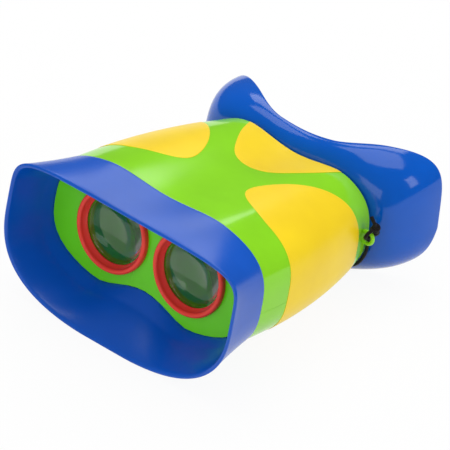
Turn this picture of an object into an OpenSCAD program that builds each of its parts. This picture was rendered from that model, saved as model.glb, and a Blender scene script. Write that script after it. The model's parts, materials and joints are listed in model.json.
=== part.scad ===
// Toy binoculars with a lens hood, a soft eye shield and a neck cord.
// Built along the optical axis (front at y = 0), then tipped back onto its rest points.

/* [Optics] */
// Distance between the two lens axes, mm
lens_spacing = 54; // [50:0.5:60]
// Width of the red rim round each front lens, mm
rim_band = 4; // [3:0.1:4.5]
// Clear diameter of the front lenses, mm
lens_d = 40; // [36:0.5:41]
// Clear diameter of the eye lenses, mm
eye_lens_d = 24; // [18:0.5:26]

/* [Hood] */
// Full width of the hood at its front rim, mm
hood_w = 159; // [152:1:166]
// Height of the hood's rim above the lens axis, mm
hood_top = 31; // [29:0.5:34]
// Depth of the hood's rim below the lens axis, mm
hood_bottom = 50; // [47:0.5:53]
// Wall of the hood, mm
hood_wall = 2.2; // [1.8:0.1:2.6]

/* [Body] */
// Distance from the hood's rim to the front seam, mm
seam_y = 31.5; // [29:0.5:34]
// Distance from the hood's rim to the rear seam, mm
rear_y = 139.2; // [134:0.2:146]
// Full width of the body at the front seam, mm
body_front_w = 146.6; // [143:0.2:150]
// Full width of the body at the rear seam, mm
body_rear_w = 114; // [106:0.5:122]
// Height of the body above the lens axis at the front seam, mm
body_top = 36; // [34:0.5:38]
// Height of the body above the lens axis at the rear seam, mm
rear_top = 32.9; // [31:0.1:35]
// Depth of the body below the lens axis at the front seam, mm
body_bottom = 38.3; // [37:0.1:39]
// Depth of the body below the lens axis at the rear seam, mm
rear_bottom = 24.2; // [22:0.1:26]
// Wall of the body shells, mm
shell_wall = 2.4; // [2:0.1:2.8]
// Thickness of the yellow grip panels, mm
grip_t = 0.6; // [0.4:0.1:1]

/* [Eye shield] */
// Full width of the shield at its rim, mm
shield_w = 149.4; // [143:0.2:156]
// Height of the shield's rim above the lens axis, mm
shield_top = 41.4; // [38:0.2:44]
// Depth of the shield's rim below the lens axis, mm
shield_bottom = 29.9; // [28:0.1:32]
// Distance from the hood's rim to the shield's brow, mm
brow_y = 151; // [147:0.5:157]
// Reach of the wing tips behind the front rim, mm
wing_y = 177.4; // [172:0.2:184]
// Twist of the soft shield at its rim, degrees
shield_sag = 4.4; // [0:0.1:8]
// Wall of the soft shield, mm
shield_wall = 2.2; // [1.8:0.1:2.6]

/* [Neck cord] */
// Diameter of the cord, mm
cord_d = 2; // [1.6:0.1:2.2]
// Mean diameter of the put-away coil, mm
coil_d = 23; // [21:0.5:24]

/* [Hidden] */
$fn = 96;
// Angular steps round a shell section
steps = 60;
half_spacing = lens_spacing / 2;
rim_od = lens_d + 2 * rim_band;
plate_y = seam_y - 3.5;
plate_t = 2.5;
plate_inset = shell_wall + 2.2;
plate_gap = 0.3;
grip_gap = 0.15;
tube_r = lens_d / 2 + 3.7;
tongue = 2.5;
hood_lip = hood_wall / 2;
eye_plate_y = rear_y - 11;
eye_plate_t = 2.5;
neck_inset = shell_wall + 0.4;
tube_front = plate_y + plate_t;
tube_back = eye_plate_y;

function lerp(a, b, u) = a + (b - a) * u;
function clamp01(u) = min(1, max(0, u));
function smooth(u) = let (q = clamp01(u)) q * q * (3 - 2 * q);
function bump(q) = abs(q) < 1 ? pow(1 - q * q, 2) : 0;

// Angle of step i round a section, closer together at the rounded ends
function turn(i) = (atan2(0.62 * sin(360 * i / steps), cos(360 * i / steps)) + 360) % 360;

// One point of a rounded section, with its own squareness above and below
function oval(th, a, up, dn, nu, nd) =
  let (c = cos(th), s = sin(th), h = s >= 0 ? up : dn, n = s >= 0 ? nu : nd)
  let (r = pow(pow(abs(c) / a, n) + pow(abs(s) / h, n), -1 / n))
  [r * c, r * s];

// Body surface, moved inwards by d
function along(y) = clamp01((y - seam_y) / (rear_y - seam_y));
function half_w(y, d) = lerp(body_front_w, body_rear_w, pow(along(y), 2.3)) / 2 - d;
function rise(y, d) = lerp(body_top, rear_top, pow(along(y), 2)) - d;
function depth(y, d) = lerp(body_bottom, rear_bottom, pow(along(y), 2.2)) - d;
top_n = 3.1;
low_n = 2.7;
function body_pt(th, y, d) =
  let (u = along(y), p = oval(th, half_w(y, d), rise(y, d), depth(y, d), top_n, low_n), top = th <= 180)
  let (v = smooth((u - 0.5) / 0.45), w = lerp(16, 36, clamp01((u - 0.5) / 0.5)))
  let (low = 3.2 * bump(p[0] / 40) + 2.6 * v * bump(p[0] / w))
  [p[0], y, top ? p[1] - low : p[1] + lerp(9.7, 9, u) * bump(p[0] / 34)];

// Hood surface between its rim and the front seam, moved inwards by d
function hood_pt(th, y, d) =
  let (e = pow(clamp01(y / seam_y), 0.85))
  let (p = oval(th, hood_w / 2 - d, hood_top - d, hood_bottom - d, 6.2, 2.7))
  let (q = body_pt(th, seam_y, d - 0.35))
  [lerp(p[0], q[0], e), y, lerp(p[1], q[2], e)];

// Rim of the eye shield, moved inwards by d
function shield_rim(th, d) =
  let (p = oval(th, shield_w / 2 - d, shield_top - d, shield_bottom - d, 5.6, 2.7), top = th <= 180)
  let (z = top ? p[1] - 5.7 * bump(p[0] / 46) : p[1] + 21 * bump(p[0] / 27))
  let (back = (wing_y - brow_y) * smooth((abs(p[0]) - 17.6) / 58))
  let (y = brow_y + back - (z < 0 ? 8 * clamp01(-z / 20) : 0))
  let (t = shield_sag * clamp01((sin(th) + 0.55) / 0.6))
  [p[0] * cos(t) - z * sin(t), y, p[0] * sin(t) + z * cos(t)];

// Shield wall from its neck (s = 0) to its rim (s = 1); inner = 1 gives the inside
function shield_pt(th, s, inner) =
  let (d = inner * shield_wall, n = body_pt(th, rear_y, neck_inset + d))
  let (r = shield_rim(th, d), f = sin(90 * s), g = 1 - cos(90 * s))
  let (y0 = rear_y + 1 + d)
  [lerp(n[0], r[0], f), lerp(y0, r[1], g), lerp(n[2], r[2], f)];

// A closed skin from a grid of points; the last row joins the first
module ring_skin(rows) {
  m = len(rows);
  n = len(rows[0]);
  pts = [for (row = rows) each row];
  quads = [for (i = [0:m - 1], j = [0:n - 1])
    let (i2 = (i + 1) % m, j2 = (j + 1) % n)
    [i * n + j, i * n + j2, i2 * n + j2, i2 * n + j]];
  polyhedron(points = pts, faces = quads, convexity = 8);
}

// The same with open sides, closed by two flat ends
module strip_skin(rows) {
  m = len(rows);
  n = len(rows[0]);
  pts = [for (row = rows) each row];
  quads = [for (i = [0:m - 1], j = [0:n - 2])
    let (i2 = (i + 1) % m)
    [i * n + j, i * n + j + 1, i2 * n + j + 1, i2 * n + j]];
  first = [for (i = [0:m - 1]) i * n];
  last = [for (i = [m - 1:-1:0]) i * n + n - 1];
  polyhedron(points = pts, faces = concat(quads, [first, last]), convexity = 8);
}

// A round tube along a list of points, with flat ends
module tube(path, r, sides) {
  n = len(path);
  dirs = [for (i = [0:n - 1])
    let (a = path[max(0, i - 1)], b = path[min(n - 1, i + 1)]) (b - a) / norm(b - a)];
  rings = [for (i = [0:n - 1])
    let (t = dirs[i], k = abs(t[2]) < 0.8 ? [0, 0, 1] : [0, 1, 0])
    let (u0 = cross(k, t), u = u0 / norm(u0), v = cross(t, u))
    for (j = [0:sides - 1]) path[i] + r * (cos(360 * j / sides) * u + sin(360 * j / sides) * v)];
  walls = [for (i = [0:n - 2], j = [0:sides - 1])
    let (j2 = (j + 1) % sides)
    [i * sides + j, (i + 1) * sides + j, (i + 1) * sides + j2, i * sides + j2]];
  head = [for (j = [0:sides - 1]) j];
  tail = [for (j = [sides - 1:-1:0]) (n - 1) * sides + j];
  polyhedron(points = rings, faces = concat(walls, [head, tail]), convexity = 10);
}

// Smooth run through a few chosen points
function spline(p, k) = [for (i = [0:len(p) - 2], s = [0:k - 1])
  let (a = p[max(0, i - 1)], b = p[i], c = p[i + 1], d = p[min(len(p) - 1, i + 2)], t = s / k)
  0.5 * (2 * b + (c - a) * t + (2 * a - 5 * b + 4 * c - d) * t * t
    + (3 * b - a - 3 * c + d) * t * t * t)];
function run(p, k) = concat(spline(p, k), [p[len(p) - 1]]);

body_rows = [for (i = [0:11]) seam_y + (rear_y - seam_y) * i / 11];

// From the optical frame onto the surface it rests on, hood and cheeks on one level
foot = hood_pt(270, 0.15, 0.4);
rest_tip = min([for (i = [steps / 2:steps])
  let (r = shield_rim(turn(i), 0)) atan((r[2] - foot[2]) / (r[1] - foot[1]))]);
front_reach = -hood_bottom * sin(rest_tip);
back_reach = max([for (i = [0:steps])
  let (r = shield_rim(turn(i), 0)) r[1] * cos(rest_tip) + r[2] * sin(rest_tip)]);
mid_y = (front_reach + back_reach) / 2;
lift = foot[1] * sin(rest_tip) - foot[2] * cos(rest_tip) - 0.5;
echo(rest_tip = rest_tip, mid_y = mid_y, lift = lift);
module at_rest() {
  translate([0, -mid_y, lift]) rotate([-rest_tip, 0, 0]) children();
}
function rested(p) = [p[0], p[1] * cos(rest_tip) + p[2] * sin(rest_tip) - mid_y,
  -p[1] * sin(rest_tip) + p[2] * cos(rest_tip) + lift];
module above_floor() {
  intersection() {
    children();
    translate([-150, -150, 0]) cube([300, 300, 200]);
  }
}

// Hood
module hood_solid() {
  rows = [for (i = [0:steps - 1]) let (th = turn(i))
    concat(
      [for (e = [[0.7, 0], [0.15, 0.4], [0, hood_lip], [0.15, hood_wall - 0.4], [0.7, hood_wall]])
        hood_pt(th, e[0], e[1])],
      [for (u = [0.22, 0.44, 0.66]) hood_pt(th, u * seam_y, hood_wall + 2.2 * smooth(u))],
      [for (e = [[plate_y - 0.5, 0], [seam_y + tongue, 0]])
        let (p = body_pt(th, seam_y, plate_inset - plate_gap)) [p[0], e[0], p[2]]],
      [body_pt(th, seam_y + tongue, shell_wall + 0.15), body_pt(th, seam_y, shell_wall + 0.15)],
      [for (u = [1, 0.66, 0.44, 0.22]) hood_pt(th, u * seam_y, 0)])];
  ring_skin(rows);
}
module lens_hood() {
  color("RoyalBlue") above_floor() at_rest() hood_solid();
}

// Front plate with its two lens openings
module plate_outline(y, d) {
  polygon([for (i = [0:steps - 1]) let (p = body_pt(turn(i), y, d)) [p[0], p[2]]]);
}
module across(y) {
  translate([0, y, 0]) rotate([90, 0, 0]) mirror([0, 0, 1]) children();
}
module both_lenses() {
  for (s = [-1, 1]) translate([s * half_spacing, 0, 0]) children();
}
module front_plate() {
  color("LimeGreen") at_rest() across(plate_y) difference() {
    linear_extrude(plate_t) plate_outline(seam_y, plate_inset);
    both_lenses() translate([0, 0, -1]) cylinder(d = lens_d + 3.2, h = plate_t + 2);
  }
}

// Rim with a rounded lip, a spigot through the plate and a seat for the lens
module lens_rim(s) {
  r = rim_od / 2;
  q = lens_d / 2;
  color("Tomato") at_rest() translate([s * half_spacing, plate_y, 0]) rotate([-90, 0, 0])
    difference() {
      union() {
        rotate_extrude() intersection() {
          union() {
            translate([r - 2, -1.2]) circle(2, $fn = 48);
            polygon([[q, 0], [q, -0.4], [r - 2.6, -3.1], [r - 2, -3.2], [r - 2, 0]]);
            translate([q, -1.2]) square([r - q, 1.2]);
          }
          translate([0, -9]) square([r + 1, 9]);
        }
        cylinder(r = q + 1.5, h = plate_t + 4);
      }
      translate([0, 0, -6]) cylinder(r = q - 0.6, h = 20);
      translate([0, 0, 1.5]) cylinder(r = q + 0.05, h = 20);
      translate([0, 0, -6]) cylinder(r1 = q + 1.8, r2 = q - 0.6, h = 6.6);
      translate([0, 0, plate_t]) cylinder(r = q + 0.05, h = 8);
    }
}
module lens_rim_left() { lens_rim(-1); }
module lens_rim_right() { lens_rim(1); }

// Front lens, domed towards the front over a flat seat
module front_lens(s) {
  q = lens_d / 2;
  bow = 90;
  edge = q - 0.7;
  sag = bow - sqrt(bow * bow - edge * edge);
  color("PaleTurquoise") at_rest() translate([s * half_spacing, plate_y + 1.5, 0])
    rotate([-90, 0, 0]) union() {
      cylinder(r = q, h = 4);
      intersection() {
        translate([0, 0, -sag - 1]) cylinder(r = edge, h = sag + 1.5);
        translate([0, 0, bow - sag]) sphere(bow, $fn = 128);
      }
    }
}
module front_lens_left() { front_lens(-1); }
module front_lens_right() { front_lens(1); }

// Snap ring behind the front lens
module lens_retainer(s) {
  q = lens_d / 2;
  color("DimGray") at_rest() translate([s * half_spacing, plate_y + 5.5, 0])
    rotate([-90, 0, 0]) difference() {
      cylinder(r = q, h = 1);
      translate([0, 0, -1]) cylinder(r = q - 1.6, h = 3);
    }
}
module lens_retainer_left() { lens_retainer(-1); }
module lens_retainer_right() { lens_retainer(1); }

// Tapered tube from the front lens to the eye lens
module light_tube(s) {
  r2 = eye_lens_d / 2 + 3;
  long = tube_back - tube_front;
  color("OliveDrab") at_rest() translate([s * half_spacing, tube_front, 0])
    rotate([-90, 0, 0]) difference() {
      cylinder(r1 = tube_r, r2 = r2, h = long);
      translate([0, 0, -0.01]) cylinder(r1 = tube_r - 1.5, r2 = r2 - 1.5, h = long + 0.02);
    }
}
module light_tube_left() { light_tube(-1); }
module light_tube_right() { light_tube(1); }

// Plan outlines of the yellow panels, each a curve through its corners and its nose
side_corners = [[90, 54], [56, 55], [30, 63], [20, 77], [31, 103], [54, 122], [90, 126]];
bridge_corners = [[33, rear_y + 2], [25, 121], [13, 103], [0, 98]];
module side_plan(s) {
  polygon([for (p = run(side_corners, 5)) [s * p[0], p[1]]]);
}
module bridge_plan() {
  far = [for (i = [2:-1:0]) [-bridge_corners[i][0], bridge_corners[i][1]]];
  polygon(run(concat(bridge_corners, far), 5));
}

// Grid of the body wall from step i0 to i1, between rows j0 and j1 and two depths
module body_layer(d0, d1, i0, i1, j0, j1) {
  outside = [for (j = [j0:j1]) [for (i = [i0:i1]) body_pt(turn((i + steps) % steps), body_rows[j], d0)]];
  inside = [for (j = [j1:-1:j0]) [for (i = [i0:i1]) body_pt(turn((i + steps) % steps), body_rows[j], d1)]];
  strip_skin(concat(outside, inside));
}
// Height of the body wall over a screw boss, at the boss's outer side
boss_r = 3.4;
function wall_z(p, d, h, n) = h * pow(1 - pow((abs(p[0]) + boss_r) / half_w(p[1], d), n), 1 / n);
function roof_z(p, d) = p[0] == 0 ? body_pt(90, p[1], d)[2] : wall_z(p, d, rise(p[1] + boss_r, d), top_n);
function floor_z(p, d) = p[0] == 0 ? body_pt(270, p[1], d)[2] : -wall_z(p, d, depth(p[1] + boss_r, d), low_n);
// Midway between the light tube and the body's side
screw_x = (half_spacing + tube_r + body_front_w / 2) / 2;
screw_spots = [[-screw_x, seam_y + 12], [screw_x, seam_y + 12], [0, seam_y + 30], [0, rear_y - 27]];
// Side of the body where the cord is tied on
eyelet_y = rear_y - 9;
eyelet_z = 8;
eyelet_x = body_pt(0, eyelet_y, 0)[0] + 3.4;
module eyelet(s) {
  translate([s * eyelet_x, eyelet_y, eyelet_z]) rotate([90, 0, 0]) difference() {
    union() {
      translate([0, 0, -1.2]) cylinder(r = 4.4, h = 2.4);
      translate([s > 0 ? -5.2 : 0, -4.4, -1.2]) cube([5.2, 8.8, 2.4]);
    }
    translate([0, 0, -3]) cylinder(r = 2.2, h = 6);
  }
}

module top_shell() {
  color("YellowGreen") at_rest() union() {
    body_layer(0, shell_wall, 0, steps / 2, 0, 11);
    for (p = screw_spots) translate([p[0], p[1], 0]) difference() {
      cylinder(r = boss_r, h = roof_z(p, shell_wall - 1.2));
      translate([0, 0, -1]) cylinder(r = 1.25, h = 11);
    }
    for (s = [-1, 1]) eyelet(s);
  }
}
module bottom_shell() {
  color("YellowGreen") at_rest() difference() {
    union() {
      body_layer(0, shell_wall, steps / 2, steps, 0, 11);
      for (p = screw_spots) translate([p[0], p[1], floor_z(p, shell_wall - 1.2)])
        cylinder(r = boss_r, h = -floor_z(p, shell_wall - 1.2));
    }
    for (p = screw_spots) translate([p[0], p[1], -50]) {
      cylinder(r = 2.5, h = 44);
      cylinder(r = 1.35, h = 60);
    }
  }
}

// Yellow panels, bonded onto the shells
module side_grip(s) {
  color("Gold") at_rest() intersection() {
    translate([0, 0, -60]) linear_extrude(120) side_plan(s);
    union() {
      if (s > 0) body_layer(-grip_gap - grip_t, -grip_gap, 1 - steps / 4, steps / 4 - 1, 1, 10);
      else body_layer(-grip_gap - grip_t, -grip_gap, steps / 4 + 1, 3 * steps / 4 - 1, 1, 10);
    }
  }
}
module grip_left() { side_grip(-1); }
module grip_right() { side_grip(1); }
module grip_bridge() {
  color("Gold") at_rest() intersection() {
    linear_extrude(60) bridge_plan();
    body_layer(-grip_gap - grip_t, -grip_gap, 7, steps / 2 - 7, 6, 11);
  }
}

// Plate that carries the eye lenses
module eye_plate() {
  color("YellowGreen") at_rest() across(eye_plate_y) difference() {
    linear_extrude(eye_plate_t) plate_outline(eye_plate_y + eye_plate_t, shell_wall + 0.3);
    both_lenses() translate([0, 0, -1]) cylinder(d = eye_lens_d + 2.4, h = eye_plate_t + 2);
  }
}
module eye_rim(s) {
  q = eye_lens_d / 2;
  color("Tomato") at_rest() translate([s * half_spacing, eye_plate_y, 0]) rotate([-90, 0, 0])
    difference() {
      union() {
        cylinder(r = q + 1.15, h = eye_plate_t);
        translate([0, 0, eye_plate_t]) cylinder(r1 = q + 3.4, r2 = q + 2.4, h = 2.2);
      }
      translate([0, 0, -1]) cylinder(r = q - 1, h = 12);
      translate([0, 0, -1]) cylinder(r = q + 0.05, h = 3.6);
    }
}
module eye_rim_left() { eye_rim(-1); }
module eye_rim_right() { eye_rim(1); }

// Plano-concave eye lens
module eye_lens(s) {
  q = eye_lens_d / 2;
  color("PaleTurquoise") at_rest() translate([s * half_spacing, eye_plate_y, 0])
    rotate([-90, 0, 0]) difference() {
      cylinder(r = q, h = 2.6);
      translate([0, 0, -26.5]) sphere(27.5, $fn = 128);
    }
}
module eye_lens_left() { eye_lens(-1); }
module eye_lens_right() { eye_lens(1); }

// Soft eye shield
module eye_shield() {
  ss = [0, 0.1, 0.25, 0.42, 0.6, 0.8, 1];
  rows = [for (i = [0:steps - 1]) let (th = turn(i))
    concat([body_pt(th, eye_plate_y + eye_plate_t + 0.01, neck_inset)],
      [for (s = ss) shield_pt(th, s, 0)],
      [for (j = [6:-1:0]) shield_pt(th, ss[j], 1)],
      [body_pt(th, eye_plate_y + eye_plate_t + 0.01, neck_inset + shield_wall)])];
  color("RoyalBlue") above_floor() at_rest() ring_skin(rows);
}

// Screws that hold the two shells together
module body_screws() {
  color("Silver") at_rest() for (p = screw_spots) translate([p[0], p[1], -8.2]) {
    cylinder(r = 2.3, h = 2.2);
    translate([0, 0, 2]) cylinder(r = 1.2, h = 14);
  }
}

// Knot, threaded loop and short tail at an eyelet: the right one stands up, the left one hangs
knot_at = [eyelet_x + 3.6, eyelet_y, eyelet_z + 7.5];
module cord_knot() {
  r = cord_d / 2;
  slant = atan2(3.6, 7.5);
  translate([eyelet_x + 1.8, eyelet_y, eyelet_z + 3.75]) rotate([0, slant, 0]) rotate([0, 90, 0])
    rotate_extrude() translate([4.2, 0]) circle(r, $fn = 24);
  translate(knot_at) sphere(2.4, $fn = 48);
  translate(knot_at) rotate([0, -38, 0]) cylinder(r = r, h = 6.5, $fn = 24);
}
module cord_knot_left() {
  color("Black") at_rest() mirror([1, 0, 0]) translate([0, 0, 2 * eyelet_z]) mirror([0, 0, 1]) cord_knot();
}
module cord_knot_right() { color("Black") at_rest() cord_knot(); }

// Cord runs, on the surface from the notch under the nose
cr = cord_d / 2;
fz = cr + 0.05;
coil_z = cr + 0.75;
coil_at = [-16, 108, 0];
coil_r = coil_d / 2;
pitch = cord_d + 0.5;
deck = cord_d + 0.55;
down = [[knot_at[0], knot_at[1] + 0.8, knot_at[2] - 1.2], [knot_at[0] - 0.8, rear_y - 5, 11],
  body_pt(4, rear_y - 3, -2.4), body_pt(354, rear_y - 2, -1.5), body_pt(345, rear_y - 1.8, -1.4),
  body_pt(335, rear_y - 1.6, -1.4), body_pt(326, rear_y - 1.2, -1.6)];
function flip(p) = [-p[0], p[1], p[2]];
right_run = concat([for (p = down) rested(p)], [[24, 49.5, fz + 0.8], [15.5, 54.5, fz],
  [10.5, 64, fz], [8, 76, fz], [3, 89, fz], [coil_at[0] + coil_r + pitch - 0.6, 99, fz + 0.2],
  [coil_at[0] + coil_r + pitch, coil_at[1], coil_z]]);
plug_end = [coil_at[0] - coil_r - pitch, 79, coil_z + deck];
hang_z = 2 * eyelet_z - knot_at[2];
hang = [[knot_at[0], knot_at[1] + 0.8, hang_z], [knot_at[0] - 1.5, rear_y - 6, -4.5],
  body_pt(350, rear_y - 3, -2.2), body_pt(342, rear_y - 2.2, -1.5), body_pt(335, rear_y - 1.6, -1.4),
  body_pt(326, rear_y - 1.2, -1.6)];
left_run = concat([for (p = hang) flip(rested(p))], [[-24, 49.5, fz + 0.8],
  [-15.5, 53, fz], [-11.5, 58, fz], [-14.5, 63, fz], [-22.5, 65.5, fz], [plug_end[0] + 0.8, 69, 2.8],
  [plug_end[0], 74.2, plug_end[2]], [plug_end[0], 78.7, plug_end[2]]]);
module neck_cord_right() {
  color("Black") tube(run(right_run, 4), cr, 8);
}
module neck_cord_left() {
  color("Black") tube(run(left_run, 4), cr, 8);
}

// Put-away length: in over two turns, up half a turn, out over two
function coil_pt(t) =
  let (in = clamp01(t / 2), up = clamp01((t - 2) / 0.5), out = clamp01((t - 2.5) / 2))
  let (r = coil_r + pitch * (1 - 2 * in + 2 * out) - 0.8 * sin(180 * up))
  [coil_at[0] + r * cos(360 * t), coil_at[1] + r * sin(360 * t), coil_z + deck * smooth(up)];
coil_path = concat([for (i = [0:108]) coil_pt(i / 24)],
  [[plug_end[0], 104.5, plug_end[2]], [plug_end[0], 100, plug_end[2]]]);
coil_gap = min([for (i = [0:106], j = [i + 12:108]) if (j < 108 || i > 0) norm(coil_path[i] - coil_path[j])]) - cord_d;
echo(coil_gap = coil_gap);
module cord_coil() {
  color("Black") tube(coil_path, cr, 6);
}
module coil_tie() {
  color("DimGray") translate([coil_at[0] - 1.5, coil_at[1], 0.05]) difference() {
    translate([0, 6.2, 0]) cube([3, 9.2, coil_z + deck + cr + 0.6]);
    translate([-1, 6.8, 0.6]) cube([5, 8, coil_z + deck + cr - 0.55]);
  }
}

// Breakaway clasp: a socket on the coil's end and a plug on the left run
module clasp_socket() {
  color("Black") translate([plug_end[0], 100, plug_end[2]]) rotate([90, 0, 0]) difference() {
    rotate_extrude() polygon([[0, 0], [2.4, 0], [4.2, 2], [4.2, 11.5], [3.7, 12], [0, 12]]);
    translate([0, 0, 4]) cylinder(r = 1.85, h = 20);
  }
}
module clasp_plug() {
  color("Black") translate([plug_end[0], 87.7, plug_end[2]]) rotate([90, 0, 0]) union() {
    rotate_extrude() polygon([[0, 0], [3.7, 0], [4.2, 0.5], [4.2, 6.7], [2.4, 8.7], [0, 8.7]]);
    translate([0, 0, -6.5]) cylinder(r = 1.8, h = 7);
  }
}

lens_hood();
front_plate();
lens_rim_left();
lens_rim_right();
front_lens_left();
front_lens_right();
lens_retainer_left();
lens_retainer_right();
light_tube_left();
light_tube_right();
top_shell();
bottom_shell();
grip_left();
grip_right();
grip_bridge();
eye_plate();
eye_rim_left();
eye_rim_right();
eye_lens_left();
eye_lens_right();
eye_shield();
body_screws();
cord_knot_left();
cord_knot_right();
neck_cord_left();
neck_cord_right();
cord_coil();
coil_tie();
clasp_socket();
clasp_plug();
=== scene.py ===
"""Looks of the toy binoculars: every visible piece, its finish, the light and the camera."""

from __future__ import annotations

import json
import logging
import math
from collections.abc import Callable, Sequence
from dataclasses import dataclass, field
from enum import Enum
from functools import cached_property

import bpy
from mathutils import Matrix, Quaternion, Vector

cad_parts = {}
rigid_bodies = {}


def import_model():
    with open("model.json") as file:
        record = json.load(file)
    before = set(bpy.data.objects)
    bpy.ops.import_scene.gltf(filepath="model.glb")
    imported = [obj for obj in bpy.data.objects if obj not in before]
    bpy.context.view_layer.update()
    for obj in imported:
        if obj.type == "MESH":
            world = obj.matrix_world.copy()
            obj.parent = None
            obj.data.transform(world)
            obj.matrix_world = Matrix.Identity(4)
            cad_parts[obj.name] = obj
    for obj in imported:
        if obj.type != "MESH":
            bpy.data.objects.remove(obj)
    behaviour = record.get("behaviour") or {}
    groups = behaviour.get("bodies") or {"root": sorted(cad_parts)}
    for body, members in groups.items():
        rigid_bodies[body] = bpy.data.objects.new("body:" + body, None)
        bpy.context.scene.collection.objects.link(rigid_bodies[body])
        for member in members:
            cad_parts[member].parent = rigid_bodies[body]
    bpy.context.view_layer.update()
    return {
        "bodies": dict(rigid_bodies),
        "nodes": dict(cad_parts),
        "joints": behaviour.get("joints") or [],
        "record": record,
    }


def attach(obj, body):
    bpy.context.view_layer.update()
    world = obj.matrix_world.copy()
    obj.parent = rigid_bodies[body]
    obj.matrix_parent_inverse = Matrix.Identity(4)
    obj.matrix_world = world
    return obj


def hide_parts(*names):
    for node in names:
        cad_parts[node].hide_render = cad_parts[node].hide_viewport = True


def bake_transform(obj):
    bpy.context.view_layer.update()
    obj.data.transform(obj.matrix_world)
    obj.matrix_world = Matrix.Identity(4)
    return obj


LOG = logging.getLogger("binoculars")
MM = 0.001
WELD = 1e-6


class Body(Enum):
    """The bodies that move on their own."""

    MAIN = "binoculars"
    CLASP = "clasp_half"


class Slot(Enum):
    """The record's material slots."""

    HOOD = "hood_blue"
    PLATE = "plate_green"
    SHELL = "body_green"
    GRIP = "grip_yellow"
    RIM = "rim_red"
    LENS = "lens_clear"
    INNER = "inner_dark"
    SHIELD = "shield_blue"
    SCREW = "screw_steel"
    CORD = "cord_black"
    TIE = "tie_dark"
    CLASP = "clasp_black"


class Side(Enum):
    """Which half of the toy, as seen by a viewer who faces the hood."""

    LEFT = -1
    RIGHT = 1

    @property
    def word(self) -> str:
        """The side's name in a piece's name."""
        return self.name.lower()


def lerp(a: float, b: float, u: float) -> float:
    """Straight mix of two values."""
    return a + (b - a) * u


def clamp(u: float) -> float:
    """A share kept from 0 to 1."""
    return min(1.0, max(0.0, u))


def smooth(u: float) -> float:
    """A share eased at both ends."""
    q = clamp(u)
    return q * q * (3 - 2 * q)


def bump(q: float) -> float:
    """A round hump one unit to each side of zero."""
    return (1 - q * q) ** 2 if abs(q) < 1 else 0.0


def sin_deg(angle: float) -> float:
    """Sine of an angle in degrees."""
    return math.sin(math.radians(angle))


def cos_deg(angle: float) -> float:
    """Cosine of an angle in degrees."""
    return math.cos(math.radians(angle))


def run_through(points: Sequence[Vector], cuts: int) -> list[Vector]:
    """Smooth run through a few chosen points.

    Args:
        points: the chosen points, in order.
        cuts: steps between two of them.

    Returns:
        The points of the run, ends included.
    """
    found = []
    last = len(points) - 1
    for i in range(last):
        a, b = points[max(0, i - 1)], points[i]
        c, d = points[i + 1], points[min(last, i + 2)]
        for k in range(cuts):
            t = k / cuts
            bend = (2 * a - 5 * b + 4 * c - d) * t * t
            curl = (3 * b - a - 3 * c + d) * t * t * t
            found.append(0.5 * (2 * b + (c - a) * t + bend + curl))
    return [*found, points[last].copy()]


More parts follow.
